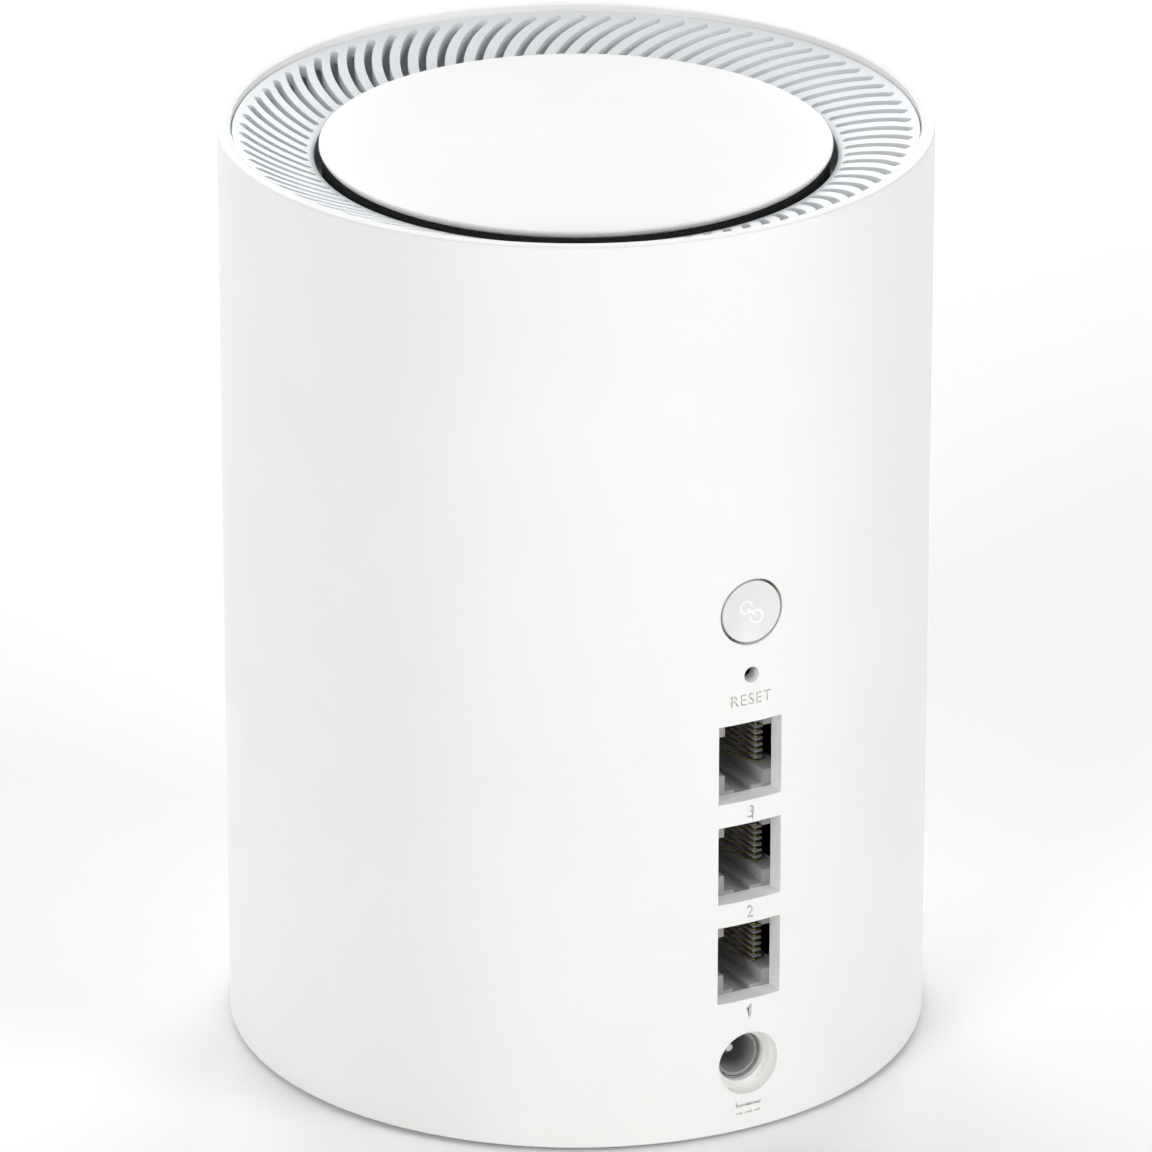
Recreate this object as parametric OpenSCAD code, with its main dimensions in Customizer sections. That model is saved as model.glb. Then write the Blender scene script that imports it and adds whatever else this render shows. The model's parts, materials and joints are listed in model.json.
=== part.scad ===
// Wireless mesh router: an upright round body, ports down its back and a slotted vent ring on top.
// The origin is the centre of the footprint on the table. +Z is up, -Y the front, +Y the port side.

/* [Body] */
// Outer radius of the shell
body_r = 55; // [54.8:0.1:56]
// Height of the shell
shell_h = 148.2; // [147.8:0.1:152]
// Wall thickness of the shell
wall = 2.05; // [1.9:0.05:2.1]
// Height of the shell's lower edge above the table
ground_gap = 0.8; // [0.6:0.1:1]

/* [Top] */
// Depth of the cone's outer edge below the rim
rim_drop = 0.93; // [0.7:0.01:1.2]
// Fall of the vent cone from its outer to its inner edge
cone_fall = 4.1; // [3.5:0.1:4.5]
// Thickness of the vent cone, measured straight down
cone_t = 2; // [1.6:0.1:2.4]
// Radius of the hole inside the vent cone
cone_in_r = 40.2; // [40:0.1:40.5]
// Number of curved slots in the cone
slot_count = 81; // [40:1:81]
// Width of a slot
slot_w = 1.05; // [0.6:0.05:1.1]
// Distance from the middle axis to a slot's inner end
slot_in_r = 41.4; // [41.3:0.1:43]
// Distance from the middle axis to a slot's outer end
slot_out_r = 51.4; // [49:0.1:51.5]
// Bend radius of a slot
slot_bend_r = 18.6; // [16:0.2:24]
// Angle between a slot's two ends, seen from the middle axis
slot_sweep = 9.7; // [7:0.1:10]
// Radius of the top disc
disc_r = 39.45; // [39:0.05:39.6]
// Depth of the disc's face below the rim
disc_drop = 3.3; // [2.9:0.1:3.6]

/* [Port column] */
// Depth of a LAN well, from the shell's surface to the jack
well_depth = 3.4; // [3.2:0.1:3.5]
// Width of a LAN well
well_w = 10.97; // [10.6:0.01:11.2]
// Height of a LAN well
well_h = 12.93; // [12.6:0.01:13.2]
// Height of the lowest LAN port above the table
lan_low_z = 29.5; // [29:0.1:30]
// Spacing of the LAN ports
lan_pitch = 16.77; // [16.6:0.01:17]
// Height of the DC inlet
dc_z = 12.14; // [11.9:0.02:12.4]
// Radius of the round recess in front of the DC jack
dc_recess_r = 5.2; // [5:0.1:5.4]
// Height of the pairing button
button_z = 87.6; // [86:0.1:90]
// Radius of the pairing button's cap
button_r = 5; // [4.6:0.05:5.1]
// Gap around the cap
button_gap = 0.3; // [0.15:0.05:0.35]
// Height of the reset hole
reset_z = 77.3; // [76.5:0.1:78.5]
// Radius of the reset hole
reset_r = 1.3; // [1:0.05:1.5]

/* [Plug jacks] */
// Width of the cavity for an eight-pole plug, across its contacts
plug_w = 11.8; // [11.7:0.05:11.9]
// Height of that cavity, from its contact side to its latch side
plug_h = 6.74; // [6.6:0.02:6.8]
// Depth of the cavity
plug_d = 14; // [13:0.5:14.5]
// Spacing of the contacts
contact_pitch = 1.02; // [1:0.01:1.03]
// Thickness of a contact wire
contact_t = 0.36; // [0.3:0.02:0.4]
// Radius of the DC jack's bore
dc_bore_r = 3.2; // [3.15:0.05:3.25]
// Radius of the DC jack's centre pin
dc_pin_r = 1; // [0.95:0.05:1.05]

/* [Inside] */
// Thickness of the circuit board
pcb_t = 1.6; // [1.2:0.2:1.6]
// Distance from the middle plane to the board's port face
pcb_x = 6.7; // [6.7:0.05:6.9]
// Number of fins on the heatsink
fin_count = 9; // [5:1:12]
// Radius of a coaxial lead
coax_r = 0.56; // [0.5:0.02:0.6]
// Number of air slots in the base
base_slot_count = 24; // [12:2:30]

/* [Hidden] */
eps = 0.1;

// Heights of the stack
shell_z = ground_gap;
rim_z = shell_z + shell_h;
in_r = body_r - wall;
base_z = shell_z + 0.4;
base_t = 2.2;
base_top = base_z + base_t;
low_ledge_t = 1.2;
frame_z = 8;
frame_t = 2.5;
cone_out_z = rim_z - rim_drop;
cone_in_z = cone_out_z - cone_fall;
cone_out_r = in_r - 0.2;
ring_skirt_t = 1.05;
ring_foot_z = rim_z - 9;
ledge_t = 1.4;
ledge_in_r = in_r - 1.75;
lip_z = rim_z - 11;
lip_t = 1.5;
lip_in_r = 33.5;
frame_top_z = lip_z - lip_t - 4;
disc_top = rim_z - disc_drop;
disc_t = 1.6;
disc_under = disc_top - disc_t;
clip_r = 25;

// Fastener sizes
screw_r = 1.25;
screw_hole_r = 1.3;
screw_way_r = 1.5;
screw_head_r = 2.7;
screw_head_h = 1.6;
base_screw_at = [for (a = [15, 165, 195, 345]) [43 * cos(a), 43 * sin(a)]];
top_screw_at = [for (a = [45 : 90 : 315]) [37 * cos(a), 37 * sin(a)]];
foot_at = [for (a = [45 : 90 : 315]) [43 * cos(a), 43 * sin(a)]];
foot_r = 6.5;
foot_sunk = 0.7;

// Places along the port column
panel_y = body_r - well_depth;
thin_panel_y = body_r - 2.6;
panel_half_w = 9.5;
panel_step_z = 71;
panel_top_z = 96;
face_gap = 0.02;
jack_y = panel_y - face_gap;
jack_d = 18;
jack_h = 15.6;
jack_low_x = -7.6;
contact_side_x = -4.08;
latch_side_x = contact_side_x + plug_h;
contact_bend = [-4.33, -3.25];
contact_tip = [-2.1, -9.55];
dc_pin_tip_y = jack_y - 2.7;
switch_y = 45.5;
plunger_reach = 1.5;

// Circuit board and the frame bars that hold it
pcb_front = -40;
pcb_back = 50.8;
pcb_low = 6.5;
pcb_high = 129;
pcb_far_x = pcb_x + pcb_t;
bar_t = 5;
pcb_screw_at = [[-35, 14], [24, 14], [-35, 126], [35, 126]];
sink_gap = 2.3;
sink_x = pcb_far_x + sink_gap;
sink_base_t = 2.2;
sink_fin_h = 12;
sink_size = [52, 50];
sink_low = [-34, 62];
sink_screw_at = [[-31, 65], [15, 109]];
chip_at = [-8, 84];
antenna_h = 42;
antenna_w = 10;
antenna_t = 0.8;
post_r = 46;
post_t = 3.5;
post_w = 12;
plug_z = 117;
coax_plug_r = 1.5;

function lan_z(i) = lan_low_z + (i - 1) * lan_pitch;
function cone_z(r) = cone_in_z + (cone_out_z - cone_in_z) * (r - cone_in_r) / (cone_out_r - cone_in_r);
function unit(v) = v / norm(v);

module rod_y(r, y0, y1, z, x = 0) {
    translate([x, y0, z]) rotate([-90, 0, 0]) cylinder(r = r, h = y1 - y0, $fn = 64);
}

module rod_x(r, x0, x1, y, z) {
    translate([x0, y, z]) rotate([0, 90, 0]) cylinder(r = r, h = x1 - x0, $fn = 48);
}

// A block given by its lowest and highest corners
module block(low, high) {
    translate(low) cube(high - low);
}

module screw(r, length) {
    difference() {
        union() {
            cylinder(r = r, h = length, $fn = 32);
            translate([0, 0, -screw_head_h]) cylinder(r = screw_head_r, h = screw_head_h, $fn = 48);
        }
        for (a = [0, 90]) rotate(a)
            translate([-1.5, -0.25, -screw_head_h - eps]) cube([3, 0.5, 1]);
    }
}

// ---- Casing ----

module shell_wall() {
    edge = 0.4;
    rotate_extrude($fn = 180) polygon([
        [in_r, shell_z], [body_r - edge, shell_z], [body_r, shell_z + edge],
        [body_r, rim_z - edge], [body_r - edge, rim_z], [in_r, rim_z],
        [in_r, ring_foot_z], [ledge_in_r, ring_foot_z], [ledge_in_r, ring_foot_z - ledge_t],
        [in_r, ring_foot_z - ledge_t - 1.5],
        [in_r, base_top + low_ledge_t], [ledge_in_r, base_top + low_ledge_t],
        [ledge_in_r, base_top], [in_r, base_top]]);
}

module port_panel() {
    intersection() {
        union() {
            block([-panel_half_w, panel_y, base_top], [panel_half_w, body_r, panel_step_z]);
            block([-panel_half_w, thin_panel_y, panel_step_z], [panel_half_w, body_r, panel_top_z]);
        }
        translate([0, 0, base_top]) cylinder(r = body_r - wall / 2, h = panel_top_z, $fn = 180);
    }
}

module outer_shell() color("white") difference() {
    union() {
        shell_wall();
        port_panel();
    }
    for (i = [1 : 3])
        block([-well_w / 2, panel_y - 2, lan_z(i) - well_h / 2], [well_w / 2, body_r + 2, lan_z(i) + well_h / 2]);
    rod_y(dc_recess_r, body_r - 2.5, body_r + 2, dc_z);
    rod_y(4, panel_y - 2, body_r, dc_z);
    rod_y(button_r + button_gap, panel_y - 2, body_r + 2, button_z);
    rod_y(reset_r, panel_y - 2, body_r + 2, reset_z);
    rod_y(screw_hole_r, -body_r - 2, -in_r + 2, 20);
}

// One curved slot, its outer end on the +X axis
module slot_cutter() {
    tip = [slot_out_r, 0];
    root = slot_in_r * [cos(slot_sweep), sin(slot_sweep)];
    middle = (tip + root) / 2;
    half = norm(tip - root) / 2;
    along = (root - tip) / (2 * half);
    centre = middle + sqrt(pow(slot_bend_r, 2) - pow(half, 2)) * [-along[1], along[0]];
    from = tip - centre;
    bend = 2 * asin(half / slot_bend_r);
    translate([centre[0], centre[1], ring_foot_z + 0.5])
        rotate(atan2(from[1], from[0]))
        rotate_extrude(angle = bend, $fn = 96)
        translate([slot_bend_r - slot_w / 2, 0]) square([slot_w, 10]);
}

module vent_ring() color("gainsboro") difference() {
    skirt_r = cone_in_r + 1;
    rotate_extrude($fn = 180) polygon([
        [cone_out_r, cone_out_z], [cone_in_r, cone_in_z], [cone_in_r, lip_z], [lip_in_r, lip_z],
        [lip_in_r, lip_z - lip_t], [skirt_r, lip_z - lip_t], [skirt_r, cone_z(skirt_r) - cone_t],
        [cone_out_r - ring_skirt_t, cone_z(cone_out_r - ring_skirt_t) - cone_t],
        [cone_out_r - ring_skirt_t, ring_foot_z], [cone_out_r, ring_foot_z]]);
    for (i = [0 : slot_count - 1]) rotate(i * 360 / slot_count) slot_cutter();
    for (p = top_screw_at) translate([p[0], p[1], lip_z - lip_t - eps])
        cylinder(r = screw_way_r, h = lip_t + 2 * eps, $fn = 32);
}

module top_disc() color("white") {
    edge = 0.3;
    rotate_extrude($fn = 180) polygon([
        [0, disc_under], [disc_r, disc_under], [disc_r, disc_top - edge], [disc_r - edge, disc_top],
        [0, disc_top]]);
    for (a = [0 : 90 : 270]) rotate(a) translate([clip_r, 0, disc_under - 2.4])
        cylinder(r = 2, h = 2.6, $fn = 32);
}

module disc_carrier() color("dimgray") difference() {
    plate_t = 2;
    rotate_extrude($fn = 120) polygon([
        [0, disc_under - plate_t], [34.6, disc_under - plate_t], [34.6, lip_z], [39, lip_z],
        [39, disc_under], [0, disc_under]]);
    for (a = [0 : 90 : 270]) rotate(a) translate([clip_r, 0, disc_under - plate_t - eps])
        cylinder(r = 2.05, h = plate_t + 2 * eps, $fn = 32);
    for (p = top_screw_at) translate([p[0], p[1], lip_z - eps])
        cylinder(r = screw_hole_r, h = 4, $fn = 32);
}

module base_cover() color("whitesmoke") difference() {
    union() {
        translate([0, 0, base_z]) cylinder(r = in_r - 0.25, h = base_t, $fn = 180);
        for (p = base_screw_at) translate([p[0], p[1], base_top - eps])
            cylinder(r = 4.5, h = frame_z - base_top + eps, $fn = 48);
    }
    for (p = foot_at) translate([p[0], p[1], base_z - eps])
        cylinder(r = foot_r + 0.1, h = foot_sunk + eps, $fn = 64);
    for (p = base_screw_at) translate([p[0], p[1], base_z - eps]) {
        cylinder(r = screw_head_r + 0.5, h = frame_z - 3 - base_z + eps, $fn = 48);
        cylinder(r = screw_way_r, h = 20, $fn = 32);
    }
    for (i = [0 : base_slot_count - 1]) rotate((i + 0.5) * 360 / base_slot_count)
        translate([24, -1, base_z - eps]) cube([11, 2, base_t + 2 * eps]);
    block([-18.1, -12.1, base_z - eps], [18.1, 12.1, base_z + 0.15]);
}

module rubber_feet() color("gray")
    for (p = foot_at) translate([p[0], p[1], 0]) {
        cylinder(r1 = foot_r - 0.4, r2 = foot_r, h = 0.4, $fn = 64);
        translate([0, 0, 0.4]) cylinder(r = foot_r, h = base_z + foot_sunk - 0.4, $fn = 64);
    }

module rating_label() color("silver") block([-18, -12, base_z], [18, 12, base_z + 0.15]);

module base_screws() color("slategray")
    for (p = base_screw_at) translate([p[0], p[1], frame_z - 3]) screw(screw_r, 9);

// ---- Frame ----

module ring_plate(z, r_in, r_out) {
    translate([0, 0, z]) difference() {
        cylinder(r = r_out, h = frame_t, $fn = 120);
        translate([0, 0, -eps]) cylinder(r = r_in, h = frame_t + 2 * eps, $fn = 120);
    }
}

module inner_frame() color("darkgray") difference() {
    union() {
        difference() {
            ring_plate(frame_z, 36, 50.5);
            block([-12, 30, frame_z - eps], [12, body_r, frame_z + frame_t + eps]);
        }
        ring_plate(frame_top_z - frame_t, 32, 50.5);
        for (a = [45 : 90 : 315]) rotate(a)
            block([post_r, -post_w / 2, frame_z], [post_r + post_t, post_w / 2, frame_top_z]);
        block([pcb_far_x, -3, frame_z], [40, 3, frame_z + frame_t]);
        block([pcb_far_x, -44, frame_z], [pcb_far_x + bar_t, 30, frame_z + 9.5]);
        block([pcb_far_x, -44, pcb_high - 7], [pcb_far_x + bar_t, 44, frame_top_z]);
        for (p = base_screw_at) translate([p[0], p[1], frame_z])
            cylinder(r = 4, h = 8, $fn = 48);
        for (p = top_screw_at) translate([p[0], p[1], frame_top_z - frame_t])
            cylinder(r = 3, h = frame_t + 4, $fn = 48);
    }
    for (p = base_screw_at) translate([p[0], p[1], frame_z - eps])
        cylinder(r = screw_hole_r, h = 7, $fn = 32);
    for (p = top_screw_at) translate([p[0], p[1], frame_top_z - frame_t - eps])
        cylinder(r = screw_way_r, h = frame_t + 5, $fn = 32);
    for (p = pcb_screw_at) rod_x(screw_hole_r, pcb_far_x - eps, pcb_far_x + 5 * eps + bar_t, p[0], p[1]);
    block([pcb_x - 0.5, pcb_front - 0.5, frame_z - eps], [pcb_far_x, 0, frame_z + frame_t + eps]);
}

module top_screws() color("slategray")
    for (p = top_screw_at) translate([p[0], p[1], frame_top_z - frame_t]) screw(screw_r, 11);

// ---- Circuit board ----

module main_pcb() color("seagreen") difference() {
    block([pcb_x, pcb_front, pcb_low], [pcb_far_x, pcb_back, pcb_high]);
    for (p = pcb_screw_at) rod_x(screw_way_r, pcb_x - 1, pcb_far_x + 1, p[0], p[1]);
    for (p = sink_screw_at) rod_x(screw_hole_r, pcb_x - 1, pcb_far_x + 1, p[0], p[1]);
}

module pcb_screws() color("silver")
    for (p = pcb_screw_at) translate([pcb_x, p[0], p[1]]) rotate([0, 90, 0]) screw(screw_r, 6);

module heatsink() color("silver") difference() {
    pitch = (sink_size[0] - 1.2) / (fin_count - 1);
    union() {
        block([sink_x, sink_low[0], sink_low[1]],
            [sink_x + sink_base_t, sink_low[0] + sink_size[0], sink_low[1] + sink_size[1]]);
        for (i = [0 : fin_count - 1]) translate([sink_x + sink_base_t - eps, sink_low[0] + i * pitch, sink_low[1] + 7])
            cube([sink_fin_h, 1.2, sink_size[1] - 14]);
        for (p = sink_screw_at) rod_x(2.6, pcb_far_x, sink_x + eps, p[0], p[1]);
    }
    for (p = sink_screw_at) rod_x(screw_way_r, pcb_far_x - eps, sink_x + sink_base_t + eps, p[0], p[1]);
}

module heatsink_screws() color("slategray")
    for (p = sink_screw_at) translate([sink_x + sink_base_t, p[0], p[1]]) rotate([0, -90, 0])
        screw(screw_r, sink_base_t + sink_gap + pcb_t - 0.3);

// A chip on one face of the board: side is 1 for the far face and -1 for the port face
module chip(at, size, t, side = 1) {
    x = side > 0 ? pcb_far_x : pcb_x - t;
    block([x, at[0] - size[0] / 2, at[1] - size[1] / 2], [x + t, at[0] + size[0] / 2, at[1] + size[1] / 2]);
}

module main_chip() color("dimgray") chip(chip_at, [19, 19], 1.5);

module thermal_pad() color("lightsteelblue") translate([1.5, 0, 0]) chip(chip_at, [18, 18], sink_gap - 1.5);

module memory_chip() color("dimgray") chip([9, 84], [9, 13], 1.1);

module flash_chip() color("dimgray") chip([-8, 50], [8, 6], 1.4);

module wifi_chips() color("dimgray")
    for (z = [63, 101]) chip([-18, z], [12, 12], 1, -1);

module rf_shield(z) {
    h = 2.8;
    can = [32, 28];
    difference() {
        chip([-18, z], can, h, -1);
        translate([eps, 0, 0]) chip([-18, z], can - [0.6, 0.6], h - 0.3 + eps, -1);
    }
}

module lan_transformers() color("dimgray")
    for (i = [1 : 3]) chip([27, lan_z(i)], [10, 12], 4);

module capacitors() color("darkslategray")
    for (p = [[31, 11], [17, 12], [29, 22]]) rod_x(3.2, pcb_x - 8, pcb_x, p[0], p[1]);

module power_inductors() color("gray")
    for (y = [8, -3]) chip([y, 13], [7, 7], 3.5, -1);

// ---- Plug jacks ----

module lan_jack(z) color("gainsboro") translate([0, jack_y, z]) {
    bay_x = -7.3;
    bay_h = 3.77;
    difference() {
        block([jack_low_x, -jack_d, -jack_h / 2], [pcb_x, 0, jack_h / 2]);
        // the plug's own cavity, the slot for its latch and the bay that the contacts stand in
        block([contact_side_x, -plug_d, -plug_w / 2], [latch_side_x, eps, plug_w / 2]);
        block([latch_side_x - eps, -plug_d, -3.25], [latch_side_x + 2.6, eps, 3.25]);
        block([bay_x, -plug_d, -bay_h], [contact_side_x + eps, eps, bay_h]);
        // a shallow channel along each short wall, open at the front
        for (s = [-1, 1]) translate([-1.9, -plug_d, s * plug_w / 2 - 0.85]) cube([2.85, plug_d + eps, 1.7]);
    }
    // the comb that keeps the contacts apart
    block([-5.85, -plug_d - eps, -bay_h - eps], [-5.2, -5, bay_h + eps]);
    for (i = [-3 : 3]) translate([-5.85, -plug_d - eps, i * contact_pitch - 0.25]) cube([1.4, plug_d - 3.1, 0.5]);
}

// Eight spring wires: forward along the comb's grooves, round its front and back into the cavity
module lan_contacts(z) color("goldenrod")
    for (i = [-3.5 : 3.5]) translate([0, jack_y, z + i * contact_pitch - contact_t / 2])
        linear_extrude(contact_t) {
            t = contact_t;
            x0 = -5.15;
            across = t * unit([contact_bend[1] - contact_tip[1], contact_tip[0] - contact_bend[0]]);
            under = contact_bend - across;
            polygon([
                [x0, -16], [x0, -3.5], [x0 + 0.2, -3.15], [-4.5, -3.05], contact_bend, contact_tip,
                contact_tip - across, under + 0.03 * (contact_tip - contact_bend), [x0 + t, -3.6],
                [x0 + t, -16 + t], [pcb_x, -16 + t], [pcb_x, -16]]);
        }

module dc_jack() color("dimgray") difference() {
    block([-4.6, jack_y - 14, dc_z - 4.6], [pcb_x, jack_y, dc_z + 4.6]);
    rod_y(3.95, jack_y - 0.35, jack_y + 1, dc_z);
    rod_y(dc_bore_r, jack_y - 10, jack_y + 1, dc_z);
    rod_y(dc_pin_r - 0.15, jack_y - 15, jack_y, dc_z);
    block([-1.2, jack_y - 10, dc_z], [1.2, jack_y - 2, dc_z + 4.1]);
}

module dc_jack_pin() color("silver") {
    rod_y(dc_pin_r - 0.2, jack_y - 13.5, jack_y - 10 + eps, dc_z);
    rod_y(dc_pin_r, jack_y - 10, dc_pin_tip_y - 0.4, dc_z);
    translate([0, dc_pin_tip_y - 0.4, dc_z]) rotate([-90, 0, 0])
        cylinder(r1 = dc_pin_r, r2 = dc_pin_r - 0.4, h = 0.4, $fn = 64);
}

module dc_jack_spring() color("goldenrod") translate([-1, jack_y, dc_z]) rotate([90, 0, 90])
    linear_extrude(2) polygon([
        [-9.9, 4.05], [-9.9, 3.75], [-3.3, 3.35], [-5, 2.5], [-4.6, 2.5], [-2.6, 3.4]]);

// ---- Buttons ----

module pairing_button() color("white") {
    cap_back = thin_panel_y - 1.5;
    rod_y(button_r, cap_back, body_r - 0.04, button_z);
    rod_y(button_r + 0.9, cap_back, cap_back + 1.2, button_z);
    rod_y(1.5, switch_y + plunger_reach, cap_back + eps, button_z);
}

module tact_switch(z, half, face_y, bore_r) {
    difference() {
        block([-half, face_y - 4, z - half], [pcb_x, face_y, z + half]);
        rod_y(bore_r, face_y - 1.6, face_y + 1, z);
    }
}

module pairing_switch() color("dimgray") tact_switch(button_z, 3, switch_y, 1.75);

module pairing_switch_plunger() color("gold") rod_y(1.7, switch_y - 1.1, switch_y + plunger_reach, button_z);

module reset_switch() color("dimgray") tact_switch(reset_z, 2.2, switch_y + 1, 0.95);

module reset_switch_plunger() color("gold") rod_y(0.9, switch_y - 0.1, switch_y + 3, reset_z);

// ---- Status light ----

module status_led() color("ivory") block([pcb_x - 1, -39.6, 19.2], [pcb_x, -38, 20.8]);

module light_pipe() color("lightcyan") {
    rod_y(1.25, -body_r + 0.06, -in_r + 1, 20);
    rod_y(2.2, -in_r + 0.7, -in_r + 1.7, 20);
    hull() {
        block([-1, -in_r + 1.6, 19], [1, -in_r + 2, 21]);
        block([4.2, -41, 19.2], [6.4, -39.9, 20.8]);
    }
}

// ---- Antennas and their leads ----

module antenna(a) color("darkgreen") rotate(a)
    block([post_r + post_t, -antenna_w / 2, plug_z - 4 - antenna_h + 2],
        [post_r + post_t + antenna_t, antenna_w / 2, plug_z - 2]);

// Route of the lead from the antenna in quadrant (sx, sy) to its plug on the board
function plug_x(sx) = sx > 0 ? pcb_far_x + 0.8 : pcb_x - 0.8;
function lead_route(sx, sy) = let (z = plug_z) [
    [sx * 36, sy * 36, z - 6], [sx * 33.5, sy * 38.5, z - 5.4], [sx * 30, sy * 41, z - 4.4],
    [sx * 25.5, sy * 41.5, z - 3], [sx * 21, sy * 40, z - 1.6], [sx * 17, sy * 37, z - 0.6],
    [plug_x(sx) + sx * 3.5, sy * 35, z], [plug_x(sx) + sx * 0.5, sy * 33.5, z],
    [plug_x(sx), sy * (30 + coax_plug_r), z]];

function bend_between(a, b, c, d, t) = 0.5 * (2 * b + (c - a) * t + (2 * a - 5 * b + 4 * c - d) * t * t
    + (3 * b - a - 3 * c + d) * t * t * t);
function smooth_route(p, n) = concat([for (i = [0 : len(p) - 2]) for (j = [0 : n - 1])
    bend_between(p[max(i - 1, 0)], p[i], p[i + 1], p[min(i + 2, len(p) - 1)], j / n)], [p[len(p) - 1]]);

module tube(route, r, sides = 8) {
    last = len(route) - 1;
    points = [for (i = [0 : last])
        let (t = unit(route[min(i + 1, last)] - route[max(i - 1, 0)]), s = unit(cross(t, [0, 0, 1])), u = cross(s, t))
        for (k = [0 : sides - 1]) route[i] + r * (cos(360 * k / sides) * s + sin(360 * k / sides) * u)];
    walls = [for (i = [0 : last - 1]) for (k = [0 : sides - 1]) let (n = (k + 1) % sides)
        [i * sides + k, (i + 1) * sides + k, (i + 1) * sides + n, i * sides + n]];
    start = [for (k = [0 : sides - 1]) k];
    end = [for (k = [sides - 1 : -1 : 0]) last * sides + k];
    polyhedron(points, concat([start], walls, [end]));
}

module coax_lead(sx, sy) color("black") tube(smooth_route(lead_route(sx, sy), 2), coax_r);

module coax_plugs() color("gold")
    for (sy = [-30, 30]) {
        rod_x(coax_plug_r, pcb_far_x, pcb_far_x + 1.5, sy, plug_z);
        rod_x(coax_plug_r, pcb_x - 1.5, pcb_x, sy, plug_z);
    }

outer_shell();
vent_ring();
top_disc();
disc_carrier();
inner_frame();
base_cover();
rubber_feet();
rating_label();
base_screws();
top_screws();
main_pcb();
pcb_screws();
heatsink();
heatsink_screws();
thermal_pad();
main_chip();
memory_chip();
flash_chip();
wifi_chips();
color("silver") rf_shield(101);  // upper_rf_shield
color("silver") rf_shield(63);  // lower_rf_shield
lan_transformers();
capacitors();
power_inductors();
lan_jack(lan_z(1));  // lan_jack_1
lan_jack(lan_z(2));  // lan_jack_2
lan_jack(lan_z(3));  // lan_jack_3
lan_contacts(lan_z(1));  // lan_contacts_1
lan_contacts(lan_z(2));  // lan_contacts_2
lan_contacts(lan_z(3));  // lan_contacts_3
dc_jack();
dc_jack_pin();
dc_jack_spring();
pairing_button();
pairing_switch();
pairing_switch_plunger();
reset_switch();
reset_switch_plunger();
status_led();
light_pipe();
antenna(45);  // antenna_1
antenna(135);  // antenna_2
antenna(225);  // antenna_3
antenna(315);  // antenna_4
coax_lead(1, 1);  // coax_lead_1
coax_lead(-1, 1);  // coax_lead_2
coax_lead(-1, -1);  // coax_lead_3
coax_lead(1, -1);  // coax_lead_4
coax_plugs();
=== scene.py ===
"""Looks of an upright round mesh router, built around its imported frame."""
import json
import math

import bmesh
import bpy
from mathutils import Matrix, Vector


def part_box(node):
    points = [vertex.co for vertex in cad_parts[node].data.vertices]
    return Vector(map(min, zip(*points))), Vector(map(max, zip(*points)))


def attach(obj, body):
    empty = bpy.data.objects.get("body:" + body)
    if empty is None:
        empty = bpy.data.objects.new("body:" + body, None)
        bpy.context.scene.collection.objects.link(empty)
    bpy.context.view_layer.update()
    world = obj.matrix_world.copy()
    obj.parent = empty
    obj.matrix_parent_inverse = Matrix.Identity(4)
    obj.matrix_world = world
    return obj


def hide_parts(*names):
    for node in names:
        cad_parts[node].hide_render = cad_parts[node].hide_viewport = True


MM = 0.001
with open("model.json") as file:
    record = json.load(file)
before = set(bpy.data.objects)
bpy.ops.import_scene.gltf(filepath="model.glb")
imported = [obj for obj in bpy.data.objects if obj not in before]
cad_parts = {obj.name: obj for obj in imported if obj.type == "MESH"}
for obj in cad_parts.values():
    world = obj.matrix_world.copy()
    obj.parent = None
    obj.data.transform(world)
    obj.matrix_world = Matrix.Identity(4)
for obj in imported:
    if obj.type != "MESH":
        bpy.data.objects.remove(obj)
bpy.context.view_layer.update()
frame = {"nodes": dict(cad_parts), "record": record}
nodes = frame["nodes"]

# ---- Driving dimensions, in metres, most of them read from the frame ----

shell_low, shell_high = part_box("outer_shell")
BODY_R = shell_high.y
RIM_Z = shell_high.z
FOOT_Z = shell_low.z
WALL = 2.05 * MM
IN_R = BODY_R - WALL
ring_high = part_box("vent_ring")[1]
CONE_OUT_R = ring_high.y
CONE_OUT_Z = ring_high.z
CONE_IN_R = 40.2 * MM
CONE_DROP = 4.1 * MM
CONE_IN_Z = CONE_OUT_Z - CONE_DROP
RING_SEAT_Z = RIM_Z - 9 * MM
disc_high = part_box("top_disc")[1]
DISC_R = disc_high.y
DISC_Z = disc_high.z
jack_low, jack_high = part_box("lan_jack_1")
PANEL_GAP = 0.02 * MM
PANEL_Y = jack_high.y + PANEL_GAP
LAN_Z = [sum(c.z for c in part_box(f"lan_jack_{i}")) / 2 for i in (1, 2, 3)]
DC_Z = sum(c.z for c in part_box("dc_jack")) / 2
BUTTON_Z = sum(c.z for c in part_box("pairing_button")) / 2
RESET_Z = sum(c.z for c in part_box("reset_switch_plunger")) / 2


# ---- Small tools ----

def linear(hex_colour):
    """An sRGB hex colour as linear RGBA."""
    parts = [int(hex_colour[i:i + 2], 16) / 255 for i in (1, 3, 5)]
    return tuple(c / 12.92 if c <= 0.04045 else ((c + 0.055) / 1.055) ** 2.4 for c in parts) + (1,)


def add_node(tree, kind, links=None, **settings):
    """Adds a node, sets its settings, and fills its sockets with values or other nodes' outputs."""
    made = tree.nodes.new(kind)
    for key, value in settings.items():
        setattr(made, key, value)
    for socket, value in (links or {}).items():
        if isinstance(value, bpy.types.NodeSocket):
            tree.links.new(value, made.inputs[socket])
        else:
            made.inputs[socket].default_value = value
    return made


def arc(centre, radius, start, end, steps=6):
    """Points of an arc in (r, z), angles in degrees."""
    return [(centre[0] + radius * math.cos(math.radians(start + (end - start) * i / steps)),
             centre[1] + radius * math.sin(math.radians(start + (end - start) * i / steps)))
            for i in range(steps + 1)]


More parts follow.
